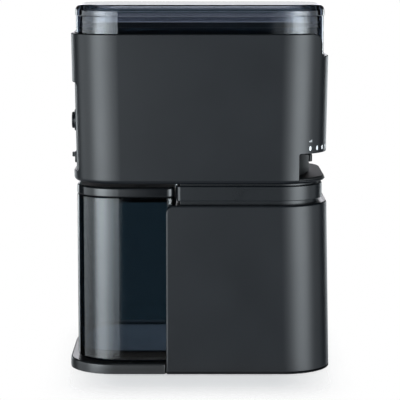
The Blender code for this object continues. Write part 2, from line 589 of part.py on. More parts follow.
def make_container_lid():
    low = CONTAINER_Z1 + GAP
    plug = CONTAINER.inset(CONTAINER_WALL + 0.4)
    rings = [plug.ring(low - 4.0), plug.ring(low), *bottom_edge(CONTAINER, low, 0.8, 2),
             *top_edge(CONTAINER, CONTAINER_LID_Z1, 1.6)]
    lid = loft("container_lid", rings, "dark", origin=(CORE_FRONT, 0.0, low))
    inside = plug.inset(2.0)
    shape_by(lid, [inside.ring(low - 8.0), inside.ring(CONTAINER_LID_Z1 - 2.6)])
    inlet = Footprint(CHUTE_X - 10.0, CHUTE_X + 10.0, 12.0, 4.0, 4.0)
    return shape_by(lid, [inlet.ring(100.0), inlet.ring(150.0)])


def body_empties():
    """Each moving piece hangs from an empty on its joint's axis."""
    axes = {
        "lever_axis": ((BURR_X, 0.0, 0.0), ("grind_lever", "adjusting_ring")),
        "carrier_axis": ((BURR_X, 0.0, 0.0), ("burr_carrier", "outer_burr")),
        "spindle_axis": ((BURR_X, 0.0, 0.0),
                         ("spindle", "spindle_gear", "impeller", "inner_burr", "burr_nut")),
        "motor_axis": ((MOTOR_X, 0.0, 0.0), ("motor_shaft", "motor_pinion")),
        "button_axis": ((-89.0, 0.0, BUTTON_Z), ("start_button",)),
        "slider_axis": ((0.0, 0.0, SLIDER_Z), ("cup_slider",)),
        "container_axis": ((CORE_FRONT, 0.0, CONTAINER_Z0), ("grounds_container", "container_lid")),
        "hopper_axis": ((0.0, 0.0, HOPPER_Z0), ("hopper", "hopper_funnel")),
        "lid_axis": ((0.0, 0.0, LID_Z0), ("hopper_lid",)),
    }
    for name, (place, pieces) in axes.items():
        axis = bpy.data.objects.new(name, None)
        axis.location = [c * MM for c in place]
        bpy.context.scene.collection.objects.link(axis)
        bpy.context.view_layer.update()
        for piece in (bpy.data.objects[p] for p in pieces):
            piece.parent = axis
            piece.matrix_parent_inverse = axis.matrix_world.inverted()


def main():
    for thing in list(bpy.data.objects):
        bpy.data.objects.remove(thing, do_unlink=True)
    make_lid()
    make_hopper()
    make_funnel()
    make_upper_housing()
    make_panel()
    make_controls()
    make_electrics()
    make_deck()
    make_chassis()
    make_chamber()
    make_chute()
    make_burrs()
    make_adjuster()
    make_liner()
    make_spindle()
    make_motor()
    make_motor_housing()
    make_skirt()
    make_base()
    make_gland()
    make_container()
    make_container_lid()
    body_empties()


main()
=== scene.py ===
# Burr coffee grinder: its looks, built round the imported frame
# Settings are in millimetres unless a note says otherwise
import math

import bmesh
import bpy
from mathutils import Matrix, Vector
from mathutils.geometry import delaunay_2d_cdt


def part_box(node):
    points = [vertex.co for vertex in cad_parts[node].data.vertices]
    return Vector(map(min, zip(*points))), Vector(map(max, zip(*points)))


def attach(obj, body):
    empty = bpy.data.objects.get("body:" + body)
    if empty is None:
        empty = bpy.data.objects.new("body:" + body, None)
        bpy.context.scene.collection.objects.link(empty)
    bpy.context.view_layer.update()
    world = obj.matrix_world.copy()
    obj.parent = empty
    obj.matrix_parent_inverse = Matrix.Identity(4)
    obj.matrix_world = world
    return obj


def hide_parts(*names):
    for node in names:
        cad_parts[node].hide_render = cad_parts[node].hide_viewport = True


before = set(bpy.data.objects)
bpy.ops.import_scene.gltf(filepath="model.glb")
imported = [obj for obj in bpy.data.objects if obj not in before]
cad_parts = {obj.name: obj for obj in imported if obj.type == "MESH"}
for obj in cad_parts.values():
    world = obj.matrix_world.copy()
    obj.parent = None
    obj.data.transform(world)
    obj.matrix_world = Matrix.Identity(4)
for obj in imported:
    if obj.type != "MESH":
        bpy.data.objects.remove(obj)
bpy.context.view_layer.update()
mm = 0.001
print("frame loaded:", len(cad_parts), "nodes")


# Shader maths: a wire is one output socket, and Python operators on it add Math nodes
class Wire:
    def __init__(self, graph, socket):
        self.graph, self.socket = graph, socket

    def math(self, operation, *values):
        return self.graph.add("ShaderNodeMath", {"operation": operation}, dict(enumerate(values)))

    def __add__(self, other):
        return self.math("ADD", self, other)

    def __radd__(self, other):
        return self.math("ADD", other, self)

    def __sub__(self, other):
        return self.math("SUBTRACT", self, other)

    def __rsub__(self, other):
        return self.math("SUBTRACT", other, self)

    def __mul__(self, other):
        return self.math("MULTIPLY", self, other)

    def __rmul__(self, other):
        return self.math("MULTIPLY", other, self)

    def size(self):  # without its sign
        return self.math("POWER", self * self, 0.5)

    def over(self, low, high):  # 0 at low, 1 at high, smooth between; low may be the greater
        values = {"Value": self, "From Min": low, "From Max": high}
        return self.graph.add("ShaderNodeMapRange", {"interpolation_type": "SMOOTHSTEP"}, values)


class Graph:
    def __init__(self, tree, keep=False):
        self.tree = tree
        if not keep:
            tree.nodes.clear()

    def add(self, kind, settings=None, values=None, out=0):
        node = self.tree.nodes.new(kind)
        for key, setting in (settings or {}).items():
            setattr(node, key, setting)
        for key, given in (values or {}).items():
            socket = node.inputs[key]
            if isinstance(given, Wire):
                self.tree.links.new(given.socket, socket)
            elif socket.type == "RGBA" and len(given) == 3:
                socket.default_value = (*given, 1.0)
            else:
                socket.default_value = given
        return Wire(self, node.outputs[out]) if node.outputs else node

    def split(self, vector):  # its x, y and z
        first = self.add("ShaderNodeSeparateXYZ", {}, {0: vector})
        return [Wire(self, socket) for socket in first.socket.node.outputs]

    def place(self, stretch=(1.0, 1.0, 1.0)):  # the piece's own coordinates, in metres
        here = self.add("ShaderNodeTexCoord", out=3)
        return here if stretch == (1.0, 1.0, 1.0) else self.add(
            "ShaderNodeVectorMath", {"operation": "MULTIPLY"}, {0: here, 1: stretch})

    def noise(self, size, detail=3.0, roughness=0.55, stretch=(1.0, 1.0, 1.0)):  # size of a blotch, in mm
        return self.add("ShaderNodeTexNoise", {}, {"Vector": self.place(stretch), "Scale": 1.0 / (size * mm),
                                                   "Detail": detail, "Roughness": roughness})

    def cells(self, size):
        return self.add("ShaderNodeTexVoronoi", {}, {"Vector": self.place(), "Scale": 1.0 / (size * mm)})

    def mix(self, share, first, second):
        return self.add("ShaderNodeMix", {"data_type": "RGBA"}, {0: share, 6: first, 7: second}, out=2)

    def bump(self, height, distance, **under):  # distance in mm
        return self.add("ShaderNodeBump", {}, {"Height": height, "Distance": distance * mm, **under})


def tint(colour, by):
    return tuple(c * by for c in colour)


def newMaterial(name, build, **constants):
    made = bpy.data.materials.new(name)
    made.use_nodes = True
    graph = Graph(made.node_tree)
    shader = graph.add("ShaderNodeBsdfPrincipled", {}, {**constants, **build(graph)})
    graph.add("ShaderNodeOutputMaterial", {}, {"Surface": shader})
    return made


# Moulded satin plastic: spark-eroded grain, soft cloudy sheen, hair scratches from wiping
def mouldedPlastic(name, colour, roughness, grain=0.35, grainDepth=0.010, specular=0.5):
    def build(g):
        clouds = g.noise(38.0, 4.0)
        speck = g.noise(grain, 2.0)
        hair = g.noise(1.1, 2.0, 0.7, (1.0, 1.0, 0.06)).over(0.62, 0.70)
        dust = g.cells(5.5).over(0.030, 0.018) * g.noise(9.0).over(0.50, 0.62)
        base = g.mix(clouds.over(0.3, 0.7), tint(colour, 0.93), tint(colour, 1.07))
        base = g.mix(dust * 0.5, base, tint(colour, 1.9))
        rough = (clouds - 0.5) * 0.10 + (speck - 0.5) * 0.06 + hair * 0.03 + roughness
        coarse = g.bump(g.noise(11.0, 2.0), 0.012)
        return {"Base Color": base, "Roughness": rough, "Normal": g.bump(speck, grainDepth, Normal=coarse)}
    return newMaterial(name, build, **{"Specular IOR Level": specular})


# Clear plastic tinted in its mass: nearly perfect polish, faint sink marks, wiping haze
# passed is the share of red, green and blue light that a wall of that thickness lets through
def clearPlastic(name, passed, wall, roughness=0.02, wave=0.003, specular=0.5):
    def build(g):
        clouds = g.noise(45.0, 3.0)
        hair = g.noise(0.9, 2.0, 0.6, (1.0, 1.0, 0.05)).over(0.66, 0.74)
        rough = clouds * 0.012 + hair * 0.03 + roughness
        base = g.mix(clouds, (0.96, 0.96, 0.97), (0.99, 0.99, 1.0))
        return {"Base Color": base, "Roughness": rough, "Normal": g.bump(g.noise(30.0, 1.0), wave)}
    constants = {"Transmission Weight": 1.0, "IOR": 1.49, "Specular IOR Level": specular}
    made = newMaterial(name, build, **constants)
    losses = [-math.log(share) / (wall * mm) for share in passed]
    density = max(losses) * 1.2
    g = Graph(made.node_tree, keep=True)
    tinted = g.add("ShaderNodeVolumeAbsorption", {}, {"Color": tuple(1 - k / density for k in losses),
                                                      "Density": density})
    g.tree.links.new(tinted.socket, g.tree.nodes["Material Output"].inputs["Volume"])
    return made


# Machined metal: turning or drawing lines along one axis, small stains
def machined(name, colour, roughness, lines=0.5, stretch=(1.0, 1.0, 9.0), depth=0.004):
    def build(g):
        grooves = g.noise(lines, 3.0, 0.6, stretch)
        clouds = g.noise(14.0, 4.0)
        base = g.mix(clouds.over(0.35, 0.75), tint(colour, 0.86), colour)
        rough = (grooves - 0.5) * 0.16 + (clouds - 0.5) * 0.10 + roughness
        return {"Base Color": base, "Roughness": rough, "Normal": g.bump(grooves, depth)}
    return newMaterial(name, build, Metallic=1.0)


def circuitBoard(name):
    def build(g):
        tracks = g.add("ShaderNodeTexBrick", {"offset": 0.5, "squash": 1.0},
                       {"Vector": g.place((0.0, 1.0, 1.0)), "Scale": 160.0, "Mortar Size": 0.05,
                        "Color1": (0.010, 0.085, 0.030), "Color2": (0.008, 0.070, 0.026),
                        "Mortar": (0.020, 0.150, 0.055)})
        pads = g.cells(3.2).over(0.20, 0.16)
        base = g.mix(pads, tracks, (0.45, 0.42, 0.32))
        return {"Base Color": base, "Metallic": pads, "Roughness": 0.34 - pads * 0.08,
                "Normal": g.bump(pads, 0.05)}
    return newMaterial(name, build)


finishes = {
    "shell": mouldedPlastic("satinCharcoal", (0.0034, 0.0045, 0.0062), 0.32, specular=0.32),
    "panel": mouldedPlastic("panelCharcoal", (0.0042, 0.0050, 0.0062), 0.38, specular=0.28),
    "trim": mouldedPlastic("blackTrim", (0.0060, 0.0065, 0.0072), 0.30, grainDepth=0.005),
    "neck": mouldedPlastic("neckCharcoal", (0.0034, 0.0045, 0.0060), 0.29, grainDepth=0.006, specular=0.33),
    "gloss": mouldedPlastic("glossBlack", (0.0045, 0.0052, 0.0062), 0.13, 0.6, 0.002, 0.40),
    "polished": mouldedPlastic("polishedFloor", (0.10, 0.10, 0.13), 0.10, grainDepth=0.002, specular=1.0),
    "inner": mouldedPlastic("innerBlack", (0.0060, 0.0064, 0.0070), 0.55, 0.5, specular=0.2),
    "funnel": mouldedPlastic("funnelBlack", (0.036, 0.058, 0.072), 0.34, 0.9, 0.003),
    "rubber": mouldedPlastic("softRubber", (0.0100, 0.0100, 0.0105), 0.85, 0.25, 0.02),
    "nylon": mouldedPlastic("naturalNylon", (0.62, 0.60, 0.53), 0.48, 0.6),
    "print": mouldedPlastic("whitePrint", (0.72, 0.73, 0.74), 0.50, 0.3, 0.004),
    "hopper": clearPlastic("smokedHopper", (0.34, 0.37, 0.42), 2.2),
    "lid": clearPlastic("smokedLid", (0.37, 0.39, 0.43), 5.1, specular=0.30),
    "container": clearPlastic("smokedContainer", (0.165, 0.20, 0.23), 2.2, specular=0.27),
    "steel": machined("turnedSteel", (0.58, 0.58, 0.59), 0.28),
    "burr": machined("hardenedSteel", (0.44, 0.44, 0.46), 0.34, 0.8),
    "bronze": machined("sinteredBronze", (0.56, 0.36, 0.17), 0.42, 0.3),
    "board": circuitBoard("circuitBoard"),
}
print("materials made:", len(finishes))


# Shapes: a foot is a footprint (front, rear, half depth, front radius, rear radius), seen from above
def inset(foot, by):
    front, rear, half, frontR, rearR = foot
    return (front + by, rear - by, half - by, max(frontR - by, 0.3), max(rearR - by, 0.3))


def between(low, high, share):
    return tuple(a + (b - a) * share for a, b in zip(low, high))


def ringOf(foot, z, steps=14):
    front, rear, half, frontR, rearR = foot
    corners = ((rear - rearR, half - rearR, rearR), (front + frontR, half - frontR, frontR),
               (front + frontR, frontR - half, frontR), (rear - rearR, rearR - half, rearR))
    return [(x + r * math.cos(a), y + r * math.sin(a), z)
            for quarter, (x, y, r) in enumerate(corners)
            for a in (math.pi / 2 * (quarter + i / steps) for i in range(steps + 1))]


def sweep(foot, profile, steps=14):  # rings over (inset, height) points; foot may change with height
    return [ringOf(inset(foot(z) if callable(foot) else foot, by), z, steps) for by, z in profile]


def loft(name, rings, finish, closed=False, sharp=40.0):  # closed joins the last ring to the first
    mesh = bmesh.new()
    rows = [[mesh.verts.new([c * mm for c in point]) for point in ring] for ring in rings]
    pairs = list(zip(rows, rows[1:])) + ([(rows[-1], rows[0])] if closed else [])
    if not closed:
        mesh.faces.new(rows[0])
        mesh.faces.new(rows[-1])
    for low, high in pairs:
        for i in range(len(low)):
            j = (i + 1) % len(low)
            mesh.faces.new((low[i], low[j], high[j], high[i]))
    return finished(name, mesh, finish, sharp)


def finished(name, mesh, finish, sharp=40.0):
    bmesh.ops.remove_doubles(mesh, verts=mesh.verts, dist=0.002 * mm)
    bmesh.ops.recalc_face_normals(mesh, faces=mesh.faces)
    data = bpy.data.meshes.new(name)
    mesh.to_mesh(data)
    mesh.free()
    data.shade_smooth()
    data.set_sharp_from_angle(angle=math.radians(sharp))
    piece = bpy.data.objects.new(name, data)
    bpy.context.scene.collection.objects.link(piece)
    data.materials.append(finishes[finish])
    return piece


def carve(piece, rings, operation="DIFFERENCE"):  # cuts a helper shape from the piece, or joins it
    helper = loft("helper", rings, "trim")
    step = piece.modifiers.new("carve", "BOOLEAN")
    step.operation, step.solver, step.object = operation, "EXACT", helper
    graph = bpy.context.evaluated_depsgraph_get()
    old, data = piece.data, bpy.data.meshes.new_from_object(piece.evaluated_get(graph))
    piece.modifiers.clear()
    piece.data = data
    data.name = piece.name
    data.shade_smooth()
    data.set_sharp_from_angle(angle=math.radians(35.0))
    bpy.data.objects.remove(helper)
    bpy.data.meshes.remove(old)


def soften(piece, width, angle):  # rounds the edges that turn by more than the angle
    bevel = piece.modifiers.new("softEdges", "BEVEL")
    bevel.width, bevel.segments, bevel.limit_method = width * mm, 2, "ANGLE"
    bevel.angle_limit = math.radians(angle)


def disc(x, y, z, r, steps=48):
    angles = [math.tau * i / steps for i in range(steps)]
    return [(x + r * math.cos(a), y + r * math.sin(a), z) for a in angles]


# The profile holds (radius, place on the axis) points
def turned(name, profile, centre, finish, axis="Z", closed=False, steps=48):
    x, y, z = centre
    rings = [disc(0.0, 0.0, along, r, steps) for r, along in profile]
    rings = [[(x + a, y + b, c) if axis == "Z" else (c, y + a, z + b) for a, b, c in ring] for ring in rings]
    return loft(name, rings, finish, closed)


def middleOf(node):  # in mm
    low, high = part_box(node)
    return [(a + b) / 2 / mm for a, b in zip(low, high)]


def own(piece, body, slotName, *nodes):  # rides on the body and stands for the CAD nodes
    if not piece.data.has_custom_normals:
        piece.modifiers.new("flatFaces", "WEIGHTED_NORMAL").keep_sharp = True
    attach(piece, body)
    if nodes:
        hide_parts(*nodes)


# A thin wall with openings: its skin is cut in flat (along, up) coordinates and then bent onto the wall
def inside(point, loop):
    x, y = point
    hit = False
    for (x0, y0), (x1, y1) in zip(loop, loop[1:] + loop[:1]):
        if (y0 > y) != (y1 > y) and x < (x1 - x0) * (y - y0) / (y1 - y0) + x0:
            hit = not hit
    return hit


def nearest(point, loop):  # the distance to the loop
    best = 1e9
    p = Vector(point)
    for a, b in zip(loop, loop[1:] + loop[:1]):
        a, b = Vector(a), Vector(b)
        along = b - a
        share = max(0.0, min(1.0, (p - a).dot(along) / max(along.length_squared, 1e-9)))
        best = min(best, (p - a - along * share).length)
    return best


def resample(loop, step):
    points = []
    for (x0, y0), (x1, y1) in zip(loop, loop[1:] + loop[:1]):
        count = max(1, int(math.dist((x0, y0), (x1, y1)) / step))
        points += [(x0 + (x1 - x0) * i / count, y0 + (y1 - y0) * i / count) for i in range(count)]
    return points


def turns(loop, opening):  # unit directions in the flat that point off the skin, at each point of the loop
    found = []
    area = sum(x0 * y1 - x1 * y0 for (x0, y0), (x1, y1) in zip(loop, loop[1:] + loop[:1]))
    side = (1.0 if area > 0 else -1.0) * (-1.0 if opening else 1.0)
    for i, point in enumerate(loop):
        before, after = Vector(loop[i - 1]), Vector(loop[(i + 1) % len(loop)])
        here = Vector(point)
        a, b = (here - before).normalized(), (after - here).normalized()
        outA, outB = Vector((a.y, -a.x)) * side, Vector((b.y, -b.x)) * side
        middle = (outA + outB).normalized()
        found.append(middle / max(0.5, middle.dot(outB)))
    return found


class Skin:
    def __init__(self, bend, wall):
        self.bend, self.wall = bend, wall
        self.points, self.normals, self.faces, self.known = [], [], [], {}

    def frameAt(self, flat):
        e = 0.02
        here = Vector(self.bend(*flat, 0.0))
        along = Vector(self.bend(flat[0] + e, flat[1], 0.0)) - Vector(self.bend(flat[0] - e, flat[1], 0.0))
        up = Vector(self.bend(flat[0], flat[1] + e, 0.0)) - Vector(self.bend(flat[0], flat[1] - e, 0.0))
        along.normalize()
        up.normalize()
        return here, along, up, along.cross(up).normalized()

    def vertex(self, place, normal):
        key = tuple(round(c, 2) for c in place)
        if key not in self.known:
            self.known[key] = len(self.points)
            self.points.append([c * mm for c in place])
            self.normals.append(normal)
        return self.known[key]

    def cover(self, loops, grid, steps=5):
        # each loop: its flat points, (edge radius along, in depth) at each point or None, inner radius,
        # whether it is an opening, and a direction off the skin for points that need their own
        flats, edges, starts, edgeLoops, inward = [], [], [], [], {}
        for points, radii, innerR, opening, ownWays in loops:
            ways = [Vector(ownWays.get(i, way)) for i, way in enumerate(turns(points, opening))]
            first = len(flats)
            starts.append((first, ways))
            for i, (point, way, radius) in enumerate(zip(points, ways, radii)):
                inward[first + i] = Vector(point) - way * (innerR if radius else 0.0)
                flats.append(Vector(point) - way * (radius[0] if radius else 0.0))
            edges += [(first + i, first + (i + 1) % len(points)) for i in range(len(points))]
            edgeLoops.append(([tuple(p) for p in flats[first:]], opening))
        for point in grid:
            if all(inside(point, loop) != cut and nearest(point, loop) > 0.8 for loop, cut in edgeLoops):
                flats.append(Vector(point))
        spots, _, triangles, origins, _, _ = delaunay_2d_cdt(flats, edges, [], 0, 1e-6)
        keep = []
        for face in triangles:
            middle = tuple(sum((spots[i] for i in face), Vector((0.0, 0.0))) / 3)
            if all(inside(middle, loop) != opening for loop, opening in edgeLoops):
                keep.append(face)
        outerId, innerId, byOrigin = {}, {}, {}
        for n in sorted({i for face in keep for i in face}):
            origin = origins[n][0] if origins[n] else -1
            here, _, _, normal = self.frameAt(spots[n])
            outerId[n] = self.vertex(here, normal)
            deep = inward.get(origin, spots[n])
            innerId[n] = self.vertex(self.bend(*deep, self.wall), -self.frameAt(deep)[3])
            for o in origins[n]:
                byOrigin[o] = n
        self.faces += [[outerId[i] for i in face] for face in keep]
        self.faces += [[innerId[i] for i in reversed(face)] for face in keep]
        for (first, ways), (points, radii, innerR, _, _) in zip(starts, loops):
            strips = []
            for i, (point, way, radius) in enumerate(zip(points, ways, radii)):
                if not radius or first + i not in byOrigin:
                    strips.append(None)
                    continue
                _, along, up, normal = self.frameAt(point)
                toward = (along * way.x + up * way.y).normalized()
                strip = [outerId[byOrigin[first + i]]]
                for k in range(1, steps + 1):
                    a = math.pi / 2 * k / steps
                    spot = Vector(point) - way * radius[0] * (1 - math.sin(a))
                    lean = (toward * math.sin(a) * radius[1] + normal * math.cos(a) * radius[0]).normalized()
                    strip.append(self.vertex(self.bend(*spot, radius[1] * (1 - math.cos(a))), lean))
                for k in range(3):
                    a = math.pi / 2 * k / 3
                    spot = Vector(point) - way * innerR * (1 - math.cos(a))
                    depth = self.wall - innerR + innerR * math.sin(a)
                    lean = (toward * math.cos(a) - normal * math.sin(a)).normalized()
                    strip.append(self.vertex(self.bend(*spot, depth), lean))
                strips.append(strip + [innerId[byOrigin[first + i]]])
            for one, two in zip(strips, strips[1:] + strips[:1]):
                if one and two:
                    for k in range(len(one) - 1):
                        quad = [one[k], two[k], two[k + 1], one[k + 1]]
                        quad = [v for n, v in enumerate(quad) if v != quad[n - 1]]
                        if len(quad) > 2:
                            self.faces.append(quad)

    def piece(self, name, finish):
        faces = []
        for face in self.faces:
            a, b, c = (Vector(self.points[i]) for i in face[:3])
            facing = (b - a).cross(c - a).dot(sum((self.normals[i] for i in face), Vector()))
            faces.append(face if facing > 0 else face[::-1])
        data = bpy.data.meshes.new(name)
        data.from_pydata(self.points, [], faces)
        data.update()
        data.shade_smooth()
        data.normals_split_custom_set_from_vertices(self.normals)
        made = bpy.data.objects.new(name, data)
        bpy.context.scene.collection.objects.link(made)
        data.materials.append(finishes[finish])
        return made


print("shape tools ready")

# Upper housing: a wall with the panel window, the lever slot and the rear notch cut in it
# An edge is (radius along the wall, radius in depth)
housingSet = {
    "low": (-93.1, 93.1, 63.4, 36.0, 36.0), "high": (-94.8, 94.8, 65.0, 36.0, 36.0),
    "bottom": 140.8, "top": 249.5, "foot": 3.0, "wall": 2.4,
    "rimEdge": (0.8, 0.8), "cutEdge": (0.5, 0.5), "windowEdge": (1.0, 1.0),
    "innerR": 0.4, "rimInnerR": 0.5, "step": 2.5,
    "window": (45.8, 148.7, 213.3, 6.0),  # half width, bottom, top, corner radius
    "slot": (72.4, 142.6, 162.4, 1.2),  # front end, bottom, top, corner radius
    # half width, bottom, corner radius, radius at the top, height of a point on the straight side
    "notch": (47.5, 233.0, 4.0, 9.0, 238.7),
    # front, rear, half depth and corner radius; middle and radius
    "chute": (-49.8, -30.2, 11.3, 1.5), "motor": (37.0, 9.0),
}


def housingFoot(z):
    s = housingSet
    return between(s["low"], s["high"], (z - s["bottom"]) / (s["top"] - s["bottom"]))


# Bends (along, up) onto a tapered wall with a round foot; along is 0 mid way on the far side
class RoundWall:
    def __init__(self, footAt, bottom, footR):
        self.footAt, self.bottom, self.footR = footAt, bottom, footR
        _, rear, half, _, rearR = footAt(bottom + footR)
        self.straight, self.across, self.arc = (rear - rearR) * 2, (half - rearR) * 2, rearR * math.pi / 2
        self.total = 2 * (self.straight + self.across + 2 * self.arc)
        self.curve = footR * math.pi / 2
        self.frontStart = self.straight / 2 + self.arc
        self.rearStart = self.frontStart + self.across + self.straight + 2 * self.arc

    def pointAt(self, foot, along):
        front, rear, half, frontR, rearR = foot
        near, far, reach = front + frontR, rear - rearR, self.straight / 2
        low, high = half - frontR, half - rearR

        def line(x0, y0, x1, y1):
            return lambda share: (x0 + (x1 - x0) * share, y0 + (y1 - y0) * share)

        def bow(x, y, r, start):
            return lambda share: (x + r * math.cos(math.radians(start + 90 * share)),
                                  y + r * math.sin(math.radians(start + 90 * share)))

        along = (along + reach) % self.total - reach
        if along < reach:
            middle = (front + rear) / 2
            return (middle - along / reach * (middle - near), half)
        along -= reach
        for length, shape in (
                (self.arc, bow(near, low, frontR, 90)), (self.across, line(front, low, front, -low)),
                (self.arc, bow(near, -low, frontR, 180)), (self.straight, line(near, -half, far, -half)),
                (self.arc, bow(far, -high, rearR, 270)), (self.across, line(rear, -high, rear, high)),
                (self.arc, bow(far, high, rearR, 0))):
            if along <= length + 1e-9:
                break
            along -= length
        return shape(along / length)

    def heightOf(self, up):  # (inset, height, lean) of the wall's profile
        if up >= self.curve:
            return 0.0, self.bottom + self.footR + up - self.curve, 0.0
        lean = (self.curve - up) / self.footR
        return self.footR * (1 - math.cos(lean)), self.bottom + self.footR * (1 - math.sin(lean)), lean

    def upOf(self, z):
        if z >= self.bottom + self.footR:
            return self.curve + z - self.bottom - self.footR
        return self.curve - self.footR * math.asin(min(1.0, 1 - (z - self.bottom) / self.footR))

    def __call__(self, along, up, depth):
        by, z, lean = self.heightOf(up)
        x, y = self.pointAt(inset(self.footAt(z), by + depth * math.cos(lean)), along)
        return (x, y, z + depth * math.sin(lean))

    def acrossAt(self, start, edge, r, side):
        if abs(side) <= edge:
            return start + (side + edge) / (2 * edge) * self.across
        turn = math.asin(min(1.0, (abs(side) - edge) / r)) / (math.pi / 2) * self.arc
        return start - turn if side < 0 else start + self.across + turn

    def rearAt(self, y, z):  # along for a point on the rear, by its y
        _, _, half, _, r = self.footAt(z)
        return self.acrossAt(self.rearStart, half - r, r, y)

    def frontAt(self, y, z):
        _, _, half, r, _ = self.footAt(z)
        return self.acrossAt(self.frontStart, half - r, r, -y)

    def cornerAt(self, x, z, near):  # along for a point on a rear corner, by its x
        _, rear, _, _, r = self.footAt(z)
        turn = math.acos(max(-1.0, min(1.0, (x - rear + r) / r))) / (math.pi / 2) * self.arc
        return self.rearStart - turn if near else self.rearStart + self.across + turn

    def grid(self, top, rows, columns=14):
        reach = self.straight / 2
        marks = [i * reach / 3 for i in range(3)]
        at = reach
        for length, count in ((self.arc, columns), (self.across, 6), (self.arc, columns), (self.straight, 10),
                              (self.arc, columns), (self.across, 6), (self.arc, columns)):
            marks += [at + length * i / count for i in range(count)]
            at += length
        marks += [at + i * reach / 3 for i in range(4)]
        ups = [self.curve * i / 5 for i in range(6)]
        ups += [self.curve + (top - self.curve) * i / rows for i in range(1, rows + 1)]
        return marks, ups


def cornered(points, radii, steps=6):  # rounds the corners of a flat polygon
    made = []
    for i, (point, r) in enumerate(zip(points, radii)):
        here = Vector(point)
        before, after = Vector(points[i - 1]) - here, Vector(points[(i + 1) % len(points)]) - here
        if r <= 0:
            made.append(tuple(here))
            continue
        a, b = before.normalized(), after.normalized()
        half = a.angle(b) / 2
        centre = here + (a + b).normalized() * (r / math.sin(half))
        start, end = here + a * (r / math.tan(half)), here + b * (r / math.tan(half))
        first, last = start - centre, end - centre
        swing = first.angle_signed(last)
        for k in range(steps + 1):
            turned = swing * k / steps
            c, s = math.cos(-turned), math.sin(-turned)
            made.append((centre.x + first.x * c - first.y * s, centre.y + first.x * s + first.y * c))
    return made


def makeHousing():
    s = housingSet
    wall = RoundWall(housingFoot, s["bottom"], s["foot"])
    skin = Skin(wall, s["wall"])
    top = wall.upOf(s["top"])
    marks, ups = wall.grid(top, 12)
    half, bottom, lowR, flare, knee = s["notch"]
    side = [(half + flare - flare * math.sin(a), s["top"] - flare + flare * math.cos(a))
            for a in (math.pi / 2 * i / 8 for i in range(9))] + [(half, knee)]
    side += [(half - lowR + lowR * math.cos(a), bottom + lowR - lowR * math.sin(a))
             for a in (math.pi / 2 * i / 6 for i in range(7))]
    side += [(y, bottom) for y in (38, 30, 20, 10, 0)]
    side += [(-y, z) for y, z in reversed(side[:-1])]
    notch = [(wall.rearAt(y, z), wall.upOf(z)) for y, z in reversed(side)]
    rim = [(m, top) for m in marks if m < notch[0][0] - 1.0] + notch
    rim += [(m, top) for m in marks if m > notch[-1][0] + 1.0]
    seamUps = [u for u in ups[1:-1] if u < top - 3.0]
    limit = rim + [(wall.total, u) for u in reversed(seamUps)] + [(m, 0.0) for m in reversed(marks)]
    limit += [(0.0, u) for u in seamUps]
    edges = [s["rimEdge"]] * len(rim) + [None] * (len(limit) - len(rim))
    upward = {0: (0.0, 1.0), len(rim) - 1: (0.0, 1.0)}
    step, innerR = s["step"], s["innerR"]
    windowHalf, windowLow, windowHigh, windowR = s["window"]
    flat = cornered([(-windowHalf, windowLow), (windowHalf, windowLow), (windowHalf, windowHigh),
                     (-windowHalf, windowHigh)], [windowR] * 4)
    window = [(wall.frontAt(y, z), wall.upOf(z)) for y, z in resample(flat, step)]
    slotX, slotLow, slotHigh, slotR = s["slot"]
    corners = [(wall.cornerAt(slotX, z, near), wall.upOf(z))
               for z, near in ((slotLow, True), (slotLow, False), (slotHigh, False), (slotHigh, True))]
    slot = resample(cornered(corners, [slotR] * 4, 4), step)
    cut = s["cutEdge"]
    grid = [(m, u) for m in marks for u in ups]
    skin.cover([(limit, edges, s["rimInnerR"], False, upward),
                (window, [s["windowEdge"]] * len(window), innerR, True, {}),
                (slot, [cut] * len(slot), innerR, True, {})], grid)
    under = [wall(m, 0.0, 0.0) for m in marks[:-1]]
    near, far, half, r = s["chute"]
    skin.bend = lambda v, u, depth: (u, v, s["bottom"] + depth)
    outline = [(y, x) for x, y, _ in under]
    chute = cornered([(-half, near), (half, near), (half, far), (-half, far)], [r] * 4, 3)
    x, r = s["motor"]
    bore = [(y, x) for y, x, _ in disc(0.0, x, 0.0, r, 32)]
    skin.cover([(outline, [None] * len(outline), 0.0, False, {}),
                (chute, [cut] * len(chute), innerR, True, {}),
                (bore, [cut] * len(bore), innerR, True, {})], [])
    own(skin.piece("upperHousing", "shell"), "grinder_body", "body_charcoal", "upper_housing")


makeHousing()
print("upper housing made")

# Skirt: the lower shell, open at the front for the container, with its recessed front wall and top
skirtSet = {
    "low": (-60.6, 96.5, 66.3, 36.0, 36.0), "high": (-60.6, 94.1, 64.0, 36.0, 36.0),
    "bottom": 1.0, "top": 125.4, "wall": 2.4,
    "frontEdge": (1.8, 1.4), "topEdge": (1.5, 1.5), "lowEdge": (0.8, 0.8), "glandEdge": (0.5, 0.5),
    "innerR": 0.4, "lowR": 1.2, "shoulder": 6.5, "step": 3.0, "gland": (18.0, 6.3),
    "pocket": (-17.9, 61.9, 1.2, 125.3, 0.4),  # recessed front wall: front, half depth, bottom, top, bevel
    "plate": (122.8, 125.2, 6.0),  # bottom, top and width of the shoulder's ledge
}


def skirtFoot(z):
    s = skirtSet
    return between(s["low"], s["high"], (z - s["bottom"]) / (s["top"] - s["bottom"]))


